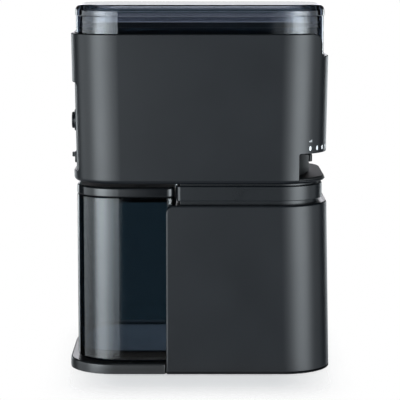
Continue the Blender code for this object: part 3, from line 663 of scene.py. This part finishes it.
def makeSkirt():
    s = skirtSet
    wall = RoundWall(skirtFoot, s["bottom"], 0.001)
    skin = Skin(wall, s["wall"])
    top = wall.upOf(s["top"])
    low, high = wall.straight / 2 + 2 * wall.arc + wall.across, wall.total + wall.straight / 2
    marks = [low]
    for length, count in ((wall.straight, 12), (wall.arc, 14), (wall.across, 6), (wall.arc, 14),
                          (wall.straight, 12)):
        marks += [marks[-1] + length / count * (i + 1) for i in range(count)]
    shoulder, lowR, innerR = s["shoulder"], s["lowR"], s["innerR"]
    corners = [(low, 0.0), (high, 0.0), (high, top), (low, top)]
    outline = resample(cornered(corners, [lowR, lowR, shoulder, shoulder], 10), s["step"])

    def edgeAt(point):
        along, up = point
        fromFront = min(along - low, high - along)
        if up < 2.0:
            return s["lowEdge"]
        share = max(0.0, min(1.0, (fromFront - 0.2) / shoulder))
        return between(s["frontEdge"], s["topEdge"], share if up > top - shoulder else 0.0)

    glandZ, glandR = s["gland"]
    start = wall.rearAt(0.0, glandZ)
    gland = [(start + glandR * math.cos(a), glandZ - s["bottom"] + glandR * math.sin(a))
             for a in (math.pi * i / 16 for i in range(32))]
    grid = [(m, top * i / 12) for m in marks for i in range(13)]
    skin.cover([(outline, [edgeAt(p) for p in outline], innerR, False, {}),
                (gland, [s["glandEdge"]] * len(gland), innerR, True, {})], grid)
    own(skin.piece("skirtShell", "shell"), "grinder_body", "body_charcoal", "housing_skirt")
    front, half, under, over, bevel = s["pocket"]
    foot = (front, front + s["wall"], half, 0.5, 0.5)
    profile = [(bevel, under), (0.0, under + bevel), (0.0, over - bevel), (bevel, over)]
    own(loft("skirtFrontWall", sweep(foot, profile, 3), "shell"), "grinder_body", "body_charcoal")
    under, over, wide = s["plate"]
    _, rear, half, _, r = skirtFoot(125.0)
    profile = [(1.2, under), (1.2, over - 0.3), (1.5, over), (wide, over), (wide, under)]
    own(loft("skirtTop", sweep((front, rear, half, 1.5, r), profile), "shell", closed=True),
        "grinder_body", "body_charcoal")


makeSkirt()
print("skirt made")

# Clear hopper and its lid, funnel, neck, container and its lid
clearSet = {
    "lid": (-91.5, 91.5, 62.0, 32.5, 32.5), "lidTop": 270.5, "lidLow": 262.3, "lidEdge": 5.0, "lidPlate": 2.4,
    "plug": (3.3, 5.1, 258.3),  # where its wall starts and ends, bottom
    "hopper": (-91.0, 91.0, 61.5, 32.0, 32.0), "rim": 262.0, "floor": 228.0, "ledge": 9.0, "wall": 2.2,
    "funnelRim": 254.0, "funnelWall": 1.6, "throat": (5.0, 18.4, 206.0),  # middle, radius, bottom
    "neck": (-16.9, 90.5, 61.5, 3.0, 32.0), "neckLow": 112.0, "groove": 128.4,
    "neckTop": 139.4, "neckIn": 140.5,
    "box": (-91.0, -18.4, 61.2, 32.0, 6.0), "boxLow": 9.4, "boxFloor": 12.0, "boxTop": 130.9,
    "inletFoot": (-50.0, -30.0, 12.0, 4.0, 4.0), "coverTop": 138.3, "coverWall": 2.6,
}


def edgeUp(by, z, r, steps=5):  # leaves a wall that ends at height z and turns in to the flat
    return [(by + r * (1 - math.cos(a)), z - r + r * math.sin(a))
            for a in (math.pi / 2 * i / steps for i in range(steps + 1))]


def edgeDown(by, z, r, steps=5):
    return [(b, 2 * z - h) for b, h in reversed(edgeUp(by, z, r, steps))]


def rimOf(z, r, wall):  # rounded rim of a wall, from its outside to its inside
    outer = edgeUp(0.0, z, r, 4)
    return [*outer, *[(wall - b, h) for b, h in reversed(outer)]]


def makeHopper():
    s = clearSet
    start, end, low = s["plug"]
    inner = reversed(edgeUp(end, s["lidTop"] - s["lidPlate"], 2.0))
    profile = [*inner, (end, low + 0.4), (end - 0.3, low), (start + 0.3, low), (start, low + 0.4),
               (start, s["lidLow"]), *edgeDown(0.0, s["lidLow"], 0.25, 3),
               *edgeUp(0.0, s["lidTop"], s["lidEdge"], 9)]
    own(loft("lidShell", sweep(s["lid"], profile), "lid"), "lid", "hopper_smoke", "hopper_lid")
    wall, floor, ledge = s["wall"], s["floor"], s["ledge"]
    profile = [(ledge, floor), *edgeDown(0.0, floor, 0.8, 3), *rimOf(s["rim"], 0.3, wall),
               (wall, floor + wall), (ledge, floor + wall)]
    own(loft("hopperWall", sweep(s["hopper"], profile), "hopper", closed=True), "bean_hopper", "hopper_smoke",
        "hopper")
    x, r, z = s["throat"]
    thick, top = s["funnelWall"], s["funnelRim"]
    throat = (x - r, x + r, r, r - 0.01, r - 0.01)
    outerThroat = inset(throat, -thick)
    rim = inset(s["hopper"], wall + 0.3)
    lip = inset(rim, thick)
    rings = [ringOf(between(outerThroat, rim, i / 6), z - 1.0 + (top - 0.6 - z) * i / 6) for i in range(7)]
    rings += [ringOf(inset(rim, b), h) for b, h in edgeUp(0.0, top, 0.5, 2)]
    rings += [ringOf(between(lip, throat, i / 6), top + (z - top) * i / 6) for i in range(7)]
    own(loft("funnelCone", rings, "funnel", True, 25.0), "bean_hopper", "funnel_black", "hopper_funnel")


def makeNeck():
    s = clearSet
    low, top, upper = s["neckLow"], s["neckTop"], s["neckIn"]
    profile = [(4.5, low), (2.5, low), (2.5, s["groove"]), *edgeDown(0.0, s["groove"], 0.5, 3),
               *edgeUp(0.0, top, 0.9, 4), (2.5, top), (2.5, upper), (4.5, upper)]
    own(loft("neckBand", sweep(s["neck"], profile), "neck", closed=True), "grinder_body", "body_charcoal",
        "motor_housing")


def makeContainer():
    s = clearSet
    box, low, floor, wall, top = s["box"], s["boxLow"], s["boxFloor"], s["wall"], s["coverTop"]
    inner = floor + 3.0
    profile = [(4.0, floor), (4.0, low), *edgeDown(0.0, low, 2.0), *rimOf(s["boxTop"], 0.8, wall),
               *[(wall + b, 2 * inner - h) for b, h in edgeUp(0.0, inner, 3.0)]]
    own(loft("groundsBox", sweep(box, profile), "container"), "container", "container_smoke",
        "grounds_container")
    profile = [(0.0, inner + 0.05), (0.0, inner + 0.3), (0.3, inner + 0.5)]
    own(loft("containerFloor", sweep(inset(box, 5.0), profile), "polished"), "container", "container_smoke")
    low, wall = s["boxTop"] + 0.3, s["coverWall"]
    profile = [(wall, low - 4.0), (wall, low), *edgeDown(0.0, low, 0.8, 3), *edgeUp(0.0, top, 1.6, 6)]
    cover = loft("containerLid", sweep(box, profile), "gloss")
    carve(cover, sweep(inset(box, wall + 2.0), [(0.0, low - 8.0), (0.0, top - wall)]))
    carve(cover, sweep(s["inletFoot"], [(0.0, 100.0), (0.0, 150.0)], 6))
    own(cover, "container", "trim_black", "container_lid")


makeHopper()
makeNeck()
makeContainer()
print("clear pieces made")

# Base with the container's platform, feet and the bush for the cord
# Feet, screws and the bush are turned from (radius, place on the axis) points
baseSet = {
    "platform": (-96.5, -24.9, 65.9, 34.0, 2.0), "low": 1.0, "top": 8.8, "edge": 1.5, "floor": 4.0,
    "tongue": (-27.6, -11.5, 61.2, 0.4, 0.4), "rearFront": -15.2, "clear": 2.7,
    # radius, from, to
    "footHole": (6.3, -2.0, 3.0), "headHole": (3.6, -2.0, 2.6), "screwHole": (2.0, -2.0, 8.0),
    "pad": ((2.6, 0.7), (3.2, 0.7), (3.8, 0.05), (5.0, 0.0), (5.7, 0.35), (6.0, 1.0), (6.0, 2.7)),
    "head": ((1.2, 2.0), (1.4, 1.3), (2.4, 1.2), (3.0, 1.5), (3.2, 2.0), (3.2, 2.3), (1.7, 2.4)),
    "thread": (1.7, 0.35, 2.8, 0.5, 26),  # radius, depth, start, half pitch, count
    "bush": ((3.6, 91.0), (5.9, 91.0), (5.9, 95.6), (6.1, 96.1), (5.7, 96.3), (4.3, 96.3), (3.8, 96.0),
             (3.6, 95.2)),
}


def drill(piece, x, y, hole, steps=24):
    r, start, end = baseSet[hole]
    carve(piece, [disc(x, y, z, r, steps) for z in (start, end)])


def makeBase():
    s = baseSet
    low, top, floor = s["low"], s["top"], s["floor"]
    profile = [*edgeDown(0.0, low, 0.6, 2), *edgeUp(0.0, top, s["edge"], 6)]
    base = loft("basePlate", sweep(s["platform"], profile), "trim")
    carve(base, sweep(s["tongue"], [(0.0, low), (0.0, top)], 2), "UNION")
    _, rear, half, _, rearR = inset(skirtFoot(floor), s["clear"])
    carve(base, sweep((s["rearFront"], rear, half, 2.0, rearR), [(0.0, low), (0.0, floor)]), "UNION")
    r, depth, start, pitch, count = s["thread"]
    screw = [*s["head"], *[(r - depth * (n % 2), start + pitch * n) for n in range(count)]]
    for i in range(1, 5):
        x, y, _ = middleOf(f"foot_{i}")
        drill(base, x, y, "footHole", 48)
        own(turned(f"footPad_{i}", s["pad"], (x, y, 0.0), "rubber"), "grinder_body", "rubber", f"foot_{i}")
        x, y, _ = middleOf(f"base_screw_{i}")
        drill(base, x, y, "headHole")
        drill(base, x, y, "screwHole")
        own(turned(f"baseScrew_{i}", screw, (x, y, 0.0), "steel", steps=24), "grinder_body", "steel",
            f"base_screw_{i}")
    own(base, "grinder_body", "trim_black", "base_plate")
    own(turned("cordBush", s["bush"], middleOf("cord_gland"), "rubber", "X", True), "grinder_body", "rubber",
        "cord_gland")


makeBase()
print("base made")

# Lever slot: the curved wall behind it, the shelf under it, the lever and the setting marks
leverSet = {
    "axis": 5.0, "slotX": 72.4, "wallR": 77.5, "wall": 1.5, "low": 143.3, "top": 159.4, "end": 57.0,
    "shelf": (142.5, 144.7, 1.2),  # bottom, top, edge radius
    "rest": -29.3, "hub": (30.2, 186.3), "crank": 64.0, "arm": 160.5, "thick": 1.5,
    "tab": 87.4, "tabLow": 155.5,
    "halfWidth": (1.6, 2.6, 4.2),  # at the tab, what it gains towards the crank, at most
    "marks": 17, "markZ": 166.3, "markHalf": (1.1, 1.75), "firstMark": 80.4,
    "bars": (0.7, 1.1, 1.5), "barWide": 0.45, "barZ": 171.1,  # small sign for coarser, over the first mark
}


def printed(name, bend, outline):  # thin print, half sunk in a bent wall
    rings = [[bend(a, b, depth) for a, b in outline] for depth in (0.06, -0.06)]
    own(loft(name, rings, "print", sharp=30.0), "grinder_body", "trim_black")


def oval(across, up, halfAcross, halfUp, steps):
    return [(across + halfAcross * math.cos(a), up + halfUp * math.sin(a))
            for a in (math.tau * i / steps for i in range(steps))]


def makeSlot():
    s = leverSet
    axis, outer, inner = s["axis"], s["wallR"], s["wallR"] - s["wall"]
    x1, end = s["slotX"] - 1.0, s["end"]
    x0 = x1 - s["wall"]
    spread = math.acos((x1 - axis) / outer)
    angles = [spread * (2 * i / 48 - 1) for i in range(49)]
    face = [(axis + outer * math.cos(a), outer * math.sin(a)) for a in angles]
    back = [(axis + inner * math.cos(a), inner * math.sin(a)) for a in reversed(angles)]
    back = [point for point in back if point[0] > x0 + 0.3]
    edge = abs(back[0][1]) + 0.4
    outline = [(x0, -end), (x1, -end), *face, (x1, end), (x0, end), (x0, edge), *back, (x0, -edge)]
    liner = loft("slotWall", [[(x, y, z) for x, y in outline] for z in (s["low"], s["top"])], "inner")
    own(liner, "grinder_body", "trim_black", "slot_liner")
    low, high, r = s["shelf"]
    profile = [(0.0, low), *edgeUp(0.0, high, r, 7)]
    shelf = loft("slotShelf", sweep(inset(housingFoot(low), 1.0), profile), "inner")
    block = (s["slotX"] + 0.4, 110.0, 80.0, 0.1, 0.1)
    carve(shelf, sweep(block, [(0.0, 130.0), (0.0, 160.0)], 1), "INTERSECT")
    carve(shelf, [disc(axis, 0.0, z, inner + 0.2, 128) for z in (130.0, 160.0)])
    own(shelf, "grinder_body", "trim_black")


def makeLever():
    s = leverSet
    t, crank, arm, tab, low = s["thick"], s["crank"], s["arm"], s["tab"], s["tabLow"]
    hub, upper = s["hub"]
    side = [(hub, upper), (crank - t, upper), (crank - t, arm), (tab - t / 2, arm), (tab - t / 2, low),
            (tab + t / 2, low), (tab + t / 2, arm + t), (crank, arm + t), (crank, upper + t), (hub, upper + t)]
    side = cornered(side, [0.3, 0.8, 2.2, 0.8, 0.6, 0.6, 2.2, 0.8, 2.2, 0.3], 5)
    turn = math.radians(s["rest"])
    narrow, gain, most = s["halfWidth"]
    rings = []
    for way in (-1.0, 1.0):
        ring = []
        for r, z in side:
            half = min(most, narrow + gain * max(0.0, (crank + 8.0 - r) / (crank - 22.0))) * way
            ring.append((s["axis"] + r * math.cos(turn) - half * math.sin(turn),
                         r * math.sin(turn) + half * math.cos(turn), z))
        rings.append(ring)
    lever = loft("settingLever", rings, "trim")
    soften(lever, 0.25, 60.0)
    own(lever, "lever", "trim_black", "grind_lever")


def makeMarks():
    s = leverSet
    wall = RoundWall(housingFoot, housingSet["bottom"], housingSet["foot"])
    z, count = s["markZ"], s["marks"]
    first, last = (wall.cornerAt(s["firstMark"], z, near) for near in (True, False))
    for i in range(count):
        middle = first + (last - first) * i / (count - 1)
        printed(f"settingMark_{i + 1}", wall, oval(middle, wall.upOf(z), *s["markHalf"], 20))
    for i, height in enumerate(s["bars"]):
        left, low = first - 1.0 + 1.0 * i, wall.upOf(s["barZ"])
        right, high = left + s["barWide"], low + height
        printed(f"settingSign_{i + 1}", wall, [(left, low), (right, low), (right, high), (left, high)])


makeSlot()
makeLever()
makeMarks()
print("lever and its slot made")

# Control panel: button in its ring, slider in its track, printed signs; they face along -X
panelSet = {
    "back": -90.3, "front": -93.0, "ring": 8.1, "ringFront": -94.5,
    "button": 6.2, "buttonBack": -89.0, "buttonEdge": -95.7, "hollow": (3.9, -91.3), "dish": (-95.95, 0.45),
    "mark": ((1.9, -95.8), (1.9, -96.06), (2.5, -96.08), (2.5, -95.8)),
    "track": (25.0, 4.1, 2.6), "open": (22.8, 2.0, 1.9),  # half length, half height, corner radius
    "knob": (4.0, 1.7), "knobBack": -88.2, "knobFront": -95.5, "ripple": (-95.95, 0.35),
    "sliderFoot": (7.0, 3.6, 0.4),
    "dots": 9, "dotGap": 4.8, "dotUp": 7.4, "cups": ((-24.5, 1.5), (24.5, 2.3)), "cupUp": 8.8, "panelIn": 1.8,
}


def slab(half, tall, r, y, z, x, steps=10):  # ring with round corners that faces along X
    flat = ringOf((y - half, y + half, tall, r, r), 0.0, steps)
    return [(x, u, z + v) for u, v, _ in flat]


def makeButton():
    s = panelSet
    _, y, z = middleOf("start_button")
    back, r, front = s["back"], s["ring"], s["ringFront"]
    bore = s["button"] + 0.3
    profile = [(r, back), (r, front + 0.6), (r - 0.2, front + 0.18), (r - 0.6, front), (bore + 0.5, front),
               (bore + 0.1, front + 0.2), (bore, front + 0.5), (bore, back)]
    own(turned("buttonRing", profile, (0.0, y, z), "shell", "X", True, 72), "grinder_body", "trim_black",
        "button_bezel")
    r, back, edge, hollow = s["button"], s["buttonBack"], s["buttonEdge"], s["hollow"]
    middle, deep = s["dish"]
    dish = [(r * i / 6, middle - deep * (i / 6) ** 2) for i in range(5, 0, -1)]
    profile = [hollow, (hollow[0], back), (r, back), (r, edge), (r - 0.12, edge - 0.4), (r - 0.4, edge - 0.68),
               (r - 0.8, edge - 0.75), *dish]
    own(turned("startKnob", profile, (0.0, y, z), "shell", "X", False, 72), "button", "body_charcoal",
        "start_button")
    own(turned("startSign", s["mark"], (0.0, y, z), "print", "X", True), "button", "trim_black")


def makeSlider():
    s = panelSet
    back, front = s["back"], s["front"]
    _, _, z = middleOf("slider_bezel")
    rings = []
    for size, steps in ((s["track"], ((0.0, back), (0.0, front + 0.5), (0.15, front + 0.15), (0.5, front))),
                        (s["open"], ((-0.3, front), (0.0, front + 0.3), (0.0, back)))):
        rings += [slab(*(side - by for side in size), 0.0, z, x) for by, x in steps]
    own(loft("sliderTrack", rings, "panel", closed=True), "grinder_body", "trim_black", "slider_bezel")
    _, y, _ = middleOf("cup_slider")
    half, tall = s["knob"]
    back, front = s["knobBack"], s["knobFront"]
    middle, wave = s["ripple"]
    crest = [(middle - wave * math.cos(math.tau * 1.5 * i / 9), half * (i / 4.5 - 1) * 0.82)
             for i in range(10)]
    outline = [(back, -half), (front, -half), *crest, (front, half), (back, half)]
    rings = [[(min(x + by, back), y + u * (1 - by / half), z + up) for x, u in outline]
             for by, up in ((0.25, -tall), (0.0, 0.25 - tall), (0.0, tall - 0.25), (0.25, tall))]
    own(loft("sliderKnob", rings, "shell"), "slider", "body_charcoal", "cup_slider")
    own(loft("sliderFoot", [slab(*s["sliderFoot"], y, z, x, 3) for x in (-88.6, -87.2)], "inner"),
        "slider", "inner_black")


def makeSigns():
    s = panelSet
    _, _, z = middleOf("slider_bezel")

    def bend(across, up, depth):  # the panel's face leans with the housing
        return (housingFoot(up)[0] + s["panelIn"] + depth, -across, up)

    for i in range(s["dots"]):
        size = 0.32 + 0.05 * i
        middle = (i - (s["dots"] - 1) / 2) * s["dotGap"]
        printed(f"cupDot_{i + 1}", bend, oval(middle, z + s["dotUp"], size, size, 16))
    up = z + s["cupUp"]
    for i, (middle, size) in enumerate(s["cups"]):
        foot, brim, top = size * 0.62, size, up + size * 1.5
        cup = [(middle - foot, up), (middle + foot, up), (middle + brim, top), (middle - brim, top)]
        printed(f"cupSign_{i + 1}", bend, cornered(cup, [0.5 * size, 0.5 * size, 0.0, 0.0], 4))
        left, right, low, high = middle - size * 1.2, middle + size * 1.2, up - 0.7, up - 0.3
        printed(f"saucerSign_{i + 1}", bend, [(left, low), (right, low), (right, high), (left, high)])


makeButton()
makeSlider()
makeSigns()
print("controls made")

dressed = {
    "panel": ("control_panel",), "funnel": ("funnel_spout",), "board": ("control_board",),
    "inner": ("adjusting_ring", "hopper_deck", "chassis_plate", "grinding_chamber", "discharge_chute",
              "motor_mount", "motor_end_cap", "start_switch", "slide_potentiometer"),
    "steel": ("spindle", "motor_shaft", "motor_pinion", "motor_can", "button_spring", "burr_nut"),
    "burr": ("inner_burr", "outer_burr"), "nylon": ("impeller", "spindle_gear", "burr_carrier"),
    "bronze": ("lower_bearing", "upper_bearing"),
}
for finish, nodes in dressed.items():
    for node in nodes:
        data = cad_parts[node].data
        data.materials.clear()
        data.materials.append(finishes[finish])
print("CAD nodes dressed")


# Studio: radiances are in watts per square metre and steradian
studioSet = {
    "lens": 168.95, "camera": (0.1, -1415.0, 302.0), "tilt": 7.27,
    # name, side in degrees, distance, width, radiance, soft share of each side
    "boxes": (("softLeft", -47.5, 1300.0, 1720.0, 11.2, (0.43, 0.50)),
              ("softRight", 51.5, 1300.0, 1760.0, 11.4, (0.46, 0.48)),
              ("fillLeft", -19.8, 1700.0, 925.0, 4.0, (0.55, 0.03)),
              ("fillRight", 17.0, 1700.0, 640.0, 2.8, (0.7, 0.3)),
              ("edgeRight", 10.5, 1720.0, 400.0, 0.6, (0.03, 0.3)),
              ("sideLeft", -91.0, 1400.0, 1080.0, 2.3, (0.08, 0.3)),
              ("sideRight", 91.0, 1400.0, 1080.0, 1.05, (0.3, 0.08)),
              ("rearLeft", -150.0, 1900.0, 700.0, 2.6, (0.3, 0.3)),
              ("rearRight", 150.0, 1900.0, 700.0, 2.6, (0.3, 0.3))),
    "tall": 1200.0, "middle": -140.0, "foot": 0.82, "head": 0.12, "cool": (0.88, 0.955, 1.0),
    "above": (1400.0, 900.0, 1.2),  # height, size, radiance
    # what the surfaces mirror: a pale wall behind, darker towards its foot, and a dark room with a floor
    # that glows faintly
    "below": (0.26, 0.38, 0.42), "wall": (0.80, 0.81, 0.83), "upper": (3.2, 3.2, 3.4),
    "dark": (0.012, 0.012, 0.012), "glow": (0.30, 0.31, 0.33),
}


def softBox(name, place, turn, size, radiance, soft, ends):  # fades towards its sides, foot and head
    light = bpy.data.lights.new(name, "AREA")
    light.shape, light.size, light.size_y = "RECTANGLE", size[0] * mm, size[1] * mm
    light.energy = radiance * math.pi * light.size * light.size_y
    light.use_nodes = True
    g = Graph(light.node_tree)
    across, up, _ = g.split(g.add("ShaderNodeTexCoord", out=2))
    fade = across.over(0.0, soft[0]) * (1.0 - across).over(0.0, soft[1]) * up.over(-0.05, ends[0])
    fade = fade * (1.0 - up).over(0.0, ends[1])
    glow = g.add("ShaderNodeEmission", {}, {"Strength": fade, "Color": studioSet["cool"]})
    g.add("ShaderNodeOutputLight", {}, {"Surface": glow})
    lamp = bpy.data.objects.new(name, light)
    lamp.location, lamp.rotation_euler = Vector(place) * mm, turn
    bpy.context.scene.collection.objects.link(lamp)


def makeCamera():
    s = studioSet
    lens = bpy.data.cameras.new("camera")
    lens.lens, lens.sensor_width, lens.clip_start, lens.clip_end = s["lens"], 36.0, 0.05, 30.0
    camera = bpy.data.objects.new("camera", lens)
    camera.location = Vector(s["camera"]) * mm
    camera.rotation_euler = (math.radians(90.0 - s["tilt"]), 0.0, 0.0)
    bpy.context.scene.collection.objects.link(camera)
    bpy.context.scene.camera = camera


def makeLights():
    s = studioSet
    for name, side, away, width, radiance, soft in s["boxes"]:
        turn = math.radians(side)
        softBox(name, (away * math.sin(turn), -away * math.cos(turn), s["middle"]), (math.pi / 2, 0.0, turn),
                (width, s["tall"]), radiance, soft, (s["foot"], s["head"]))
    high, size, radiance = s["above"]
    softBox("overhead", (0.0, -80.0, high), (0.0, 0.0, 0.0), (size, size), radiance, (0.3, 0.3), (0.3, 0.3))


def makeWorld():
    s = studioSet
    world = bpy.data.worlds.new("studio")
    world.use_nodes = True
    bpy.context.scene.world = world
    g = Graph(world.node_tree)
    x, y, z = g.split(g.add("ShaderNodeTexCoord", out=0))
    behind = g.mix(z.over(-0.10, -0.03), s["below"], g.mix(z.over(0.045, 0.09), s["wall"], s["upper"]))
    room = g.mix(z.over(-0.42, -0.20), s["glow"], s["dark"])
    patch = y.over(0.70, 0.90) * (1.0 - z.over(0.16, 0.36)) * (1.0 - x.size().over(0.125, 0.20))
    seen = g.add("ShaderNodeLightPath", out=0)
    colour = g.mix(seen, g.mix(patch, room, behind), (1.0, 1.0, 1.0))
    back = g.add("ShaderNodeBackground", {}, {"Color": colour, "Strength": 1.0})
    g.add("ShaderNodeOutputWorld", {}, {"Surface": back})
    bpy.context.scene.view_settings.view_transform = "Standard"


floorSet = {"radii": (60.0, 120.0, 240.0), "sides": 96, "glow": 0.47,
            "fadeX": (0.050, 0.118), "fadeY": (0.080, 0.155)}  # fades in metres


def makeFloor():  # pale, and clear towards its edge, where the white behind shows
    s = floorSet
    count = s["sides"]
    mesh = bmesh.new()
    rings = [[mesh.verts.new(Vector(point) * mm) for point in disc(0.0, 0.0, 0.0, r, count)]
             for r in s["radii"]]
    mesh.faces.new(rings[0])
    for low, high in zip(rings, rings[1:]):
        for i in range(count):
            mesh.faces.new((low[i], high[i], high[(i + 1) % count], low[(i + 1) % count]))
    floor = finished("floor", mesh, "print")

    def build(g):
        x, y, _ = g.split(g.place())
        return {"Base Color": g.mix(g.noise(60.0), (0.83, 0.82, 0.82), (0.85, 0.84, 0.84)),
                "Alpha": (1.0 - x.size().over(*s["fadeX"])) * (1.0 - y.size().over(*s["fadeY"]))}
    floor.data.materials[0] = newMaterial("paleFloor", build, **{
        "Roughness": 0.5, "Emission Color": (1.0, 1.0, 1.0), "Emission Strength": s["glow"]})


makeCamera()
makeLights()
makeWorld()
makeFloor()
print("studio made")
